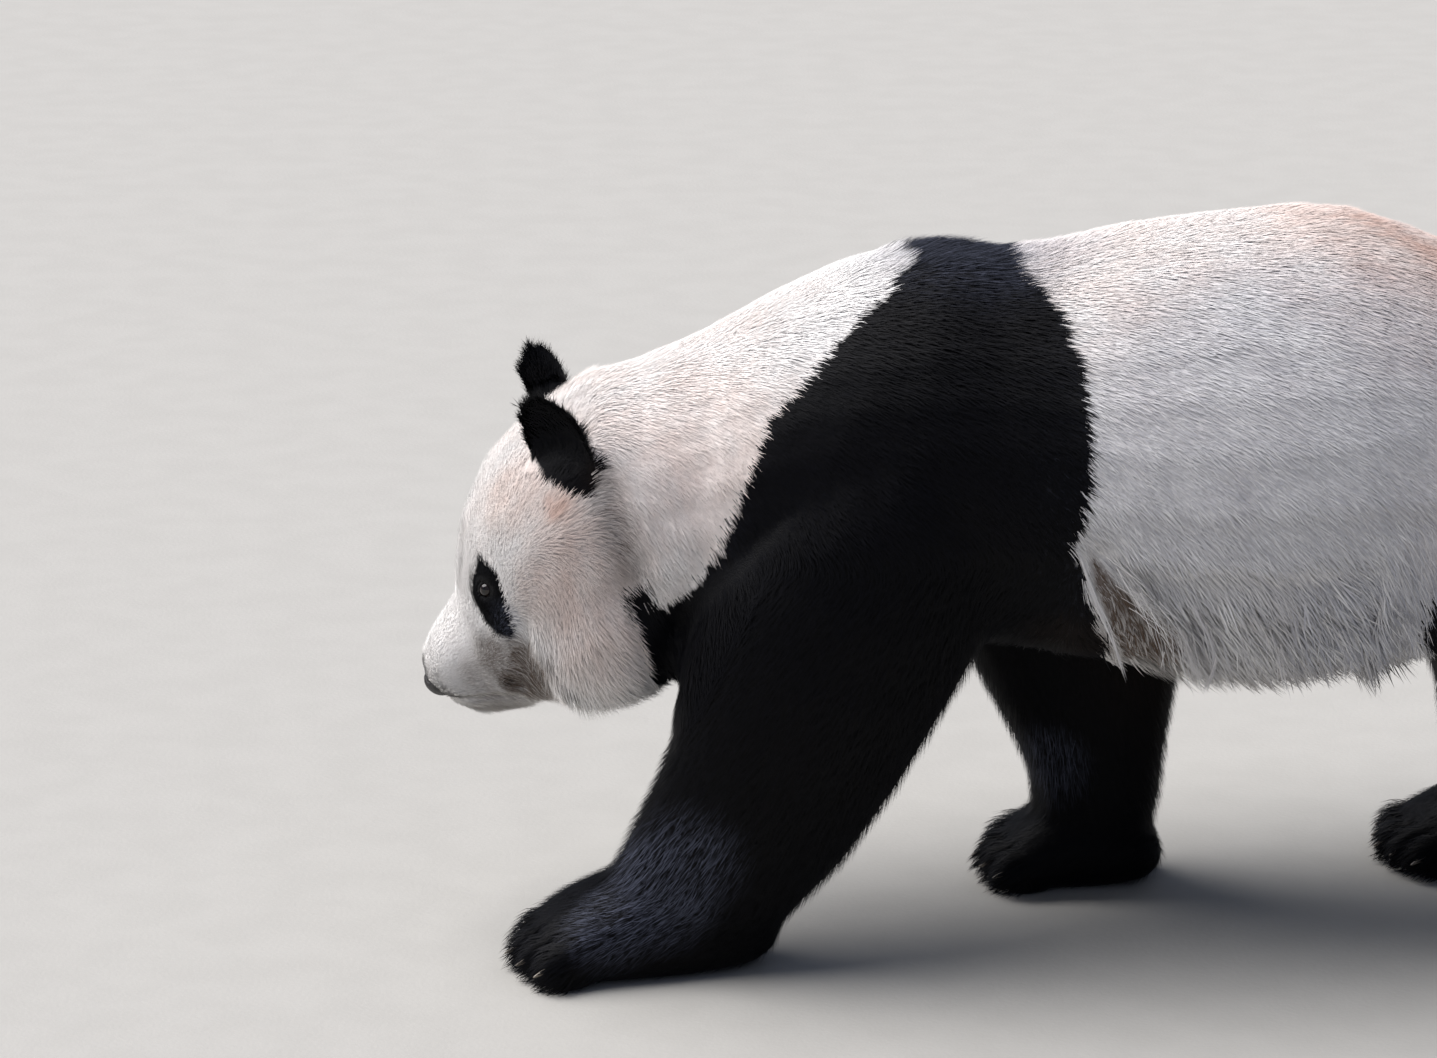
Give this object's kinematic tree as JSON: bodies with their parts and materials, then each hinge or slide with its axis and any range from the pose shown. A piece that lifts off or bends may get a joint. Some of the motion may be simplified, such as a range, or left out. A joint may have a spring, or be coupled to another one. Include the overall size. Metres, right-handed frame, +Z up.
{
  "type": "giant panda model",
  "caption": "Still, life-size giant panda walking with its head lowered, with black and white fur, for a display or a scene.",
  "frame": {"origin": "on the floor, under the middle of the whole animal's box", "axes": "-X towards the head, -Y towards the animal's left side, +Z up"},
  "size_m": [1.3556, 0.5608, 0.7752],
  "materials": {
    "coat_white": "dense cream white fur, warmer on the neck, cheeks and rump",
    "coat_black": "dense black fur with a faint bluish sheen",
    "eye": "wet dark brown",
    "nose": "moist pebbled black skin",
    "claw": "pale horn, satin"
  },
  "bodies": {
    "root": {"head": "coat_white", "muzzle": "coat_white", "jaw": "coat_white", "neck": "coat_white", "belly": "coat_white", "rump": "coat_white", "tail": "coat_white", "chest": "coat_black", "ear_left": "coat_black", "ear_right": "coat_black", "foreleg_left_upper": "coat_black", "foreleg_left_lower": "coat_black", "foreleg_left_paw": "coat_black", "foreleg_right_upper": "coat_black", "foreleg_right_lower": "coat_black", "foreleg_right_paw": "coat_black", "hindleg_left_upper": "coat_black", "hindleg_left_lower": "coat_black", "hindleg_left_paw": "coat_black", "hindleg_right_upper": "coat_black", "hindleg_right_lower": "coat_black", "hindleg_right_paw": "coat_black", "eye_left": "eye", "eye_right": "eye", "nose": "nose", "foreleg_left_claw_1": "claw", "foreleg_left_claw_2": "claw", "foreleg_left_claw_3": "claw", "foreleg_left_claw_4": "claw", "foreleg_left_claw_5": "claw", "foreleg_right_claw_1": "claw", "foreleg_right_claw_2": "claw", "foreleg_right_claw_3": "claw", "foreleg_right_claw_4": "claw", "foreleg_right_claw_5": "claw", "hindleg_left_claw_1": "claw", "hindleg_left_claw_2": "claw", "hindleg_left_claw_3": "claw", "hindleg_left_claw_4": "claw", "hindleg_left_claw_5": "claw", "hindleg_right_claw_1": "claw", "hindleg_right_claw_2": "claw", "hindleg_right_claw_3": "claw", "hindleg_right_claw_4": "claw", "hindleg_right_claw_5": "claw"}
  },
  "joints": []
}
